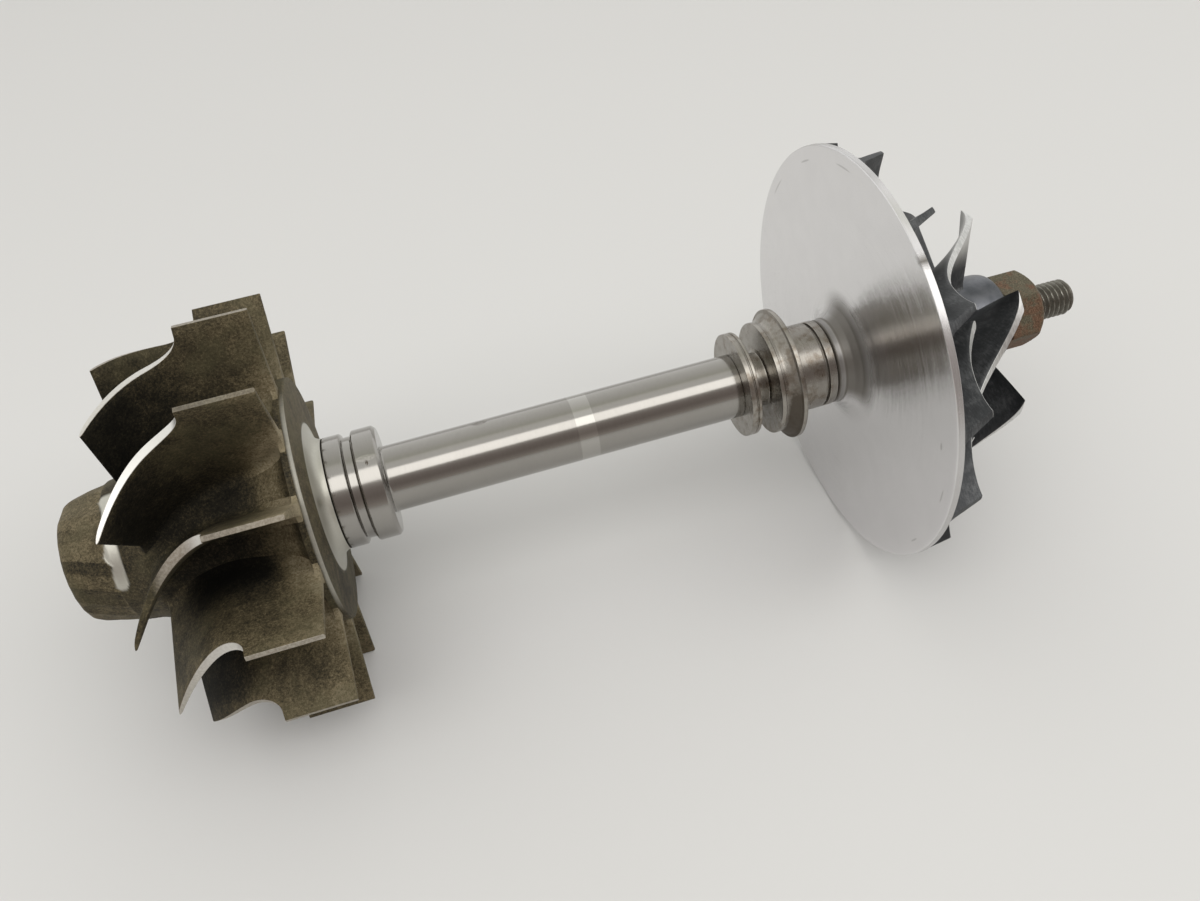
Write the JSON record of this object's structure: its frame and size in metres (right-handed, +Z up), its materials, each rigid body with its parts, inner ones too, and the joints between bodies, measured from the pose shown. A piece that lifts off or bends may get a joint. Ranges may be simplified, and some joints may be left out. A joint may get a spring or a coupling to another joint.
{
  "type": "turbocharger rotor",
  "caption": "Turbocharger rotor: radial turbine wheel welded to a ground shaft, with thrust collar, oil flinger and seal sleeve, compressor wheel and lock nut",
  "frame": {"origin": "middle of the box on the floor", "axes": "+X along the shaft towards the lock nut, +Y to the far side, +Z up; the shaft rises by 1.81 degrees towards +X"},
  "size_m": [0.2698, 0.1126, 0.1126],
  "materials": {
    "turbine_casting": "as cast, dark heat oxide",
    "ground_steel": "ground, with brown oil bands",
    "collar_steel": "turned and stained",
    "milled_aluminium": "fine turned, satin",
    "blade_aluminium": "milled, dulled by soot",
    "rusty_steel": "rusty"
  },
  "bodies": {
    "root": {"shaft": "ground_steel", "turbine_hub": "turbine_casting", "turbine_blade_01": "turbine_casting", "turbine_blade_02": "turbine_casting", "turbine_blade_03": "turbine_casting", "turbine_blade_04": "turbine_casting", "turbine_blade_05": "turbine_casting", "turbine_blade_06": "turbine_casting", "turbine_blade_07": "turbine_casting", "turbine_blade_08": "turbine_casting", "turbine_blade_09": "turbine_casting", "turbine_blade_10": "turbine_casting", "turbine_blade_11": "turbine_casting", "turbine_blade_12": "turbine_casting", "thrust_collar": "collar_steel", "flinger_sleeve": "collar_steel", "compressor_hub": "milled_aluminium", "compressor_blade_1": "blade_aluminium", "compressor_blade_2": "blade_aluminium", "compressor_blade_3": "blade_aluminium", "compressor_blade_4": "blade_aluminium", "compressor_blade_5": "blade_aluminium", "compressor_blade_6": "blade_aluminium", "compressor_blade_7": "blade_aluminium", "splitter_blade_1": "blade_aluminium", "splitter_blade_2": "blade_aluminium", "splitter_blade_3": "blade_aluminium", "splitter_blade_4": "blade_aluminium", "splitter_blade_5": "blade_aluminium", "splitter_blade_6": "blade_aluminium", "splitter_blade_7": "blade_aluminium", "lock_nut": "rusty_steel"}
  },
  "joints": []
}
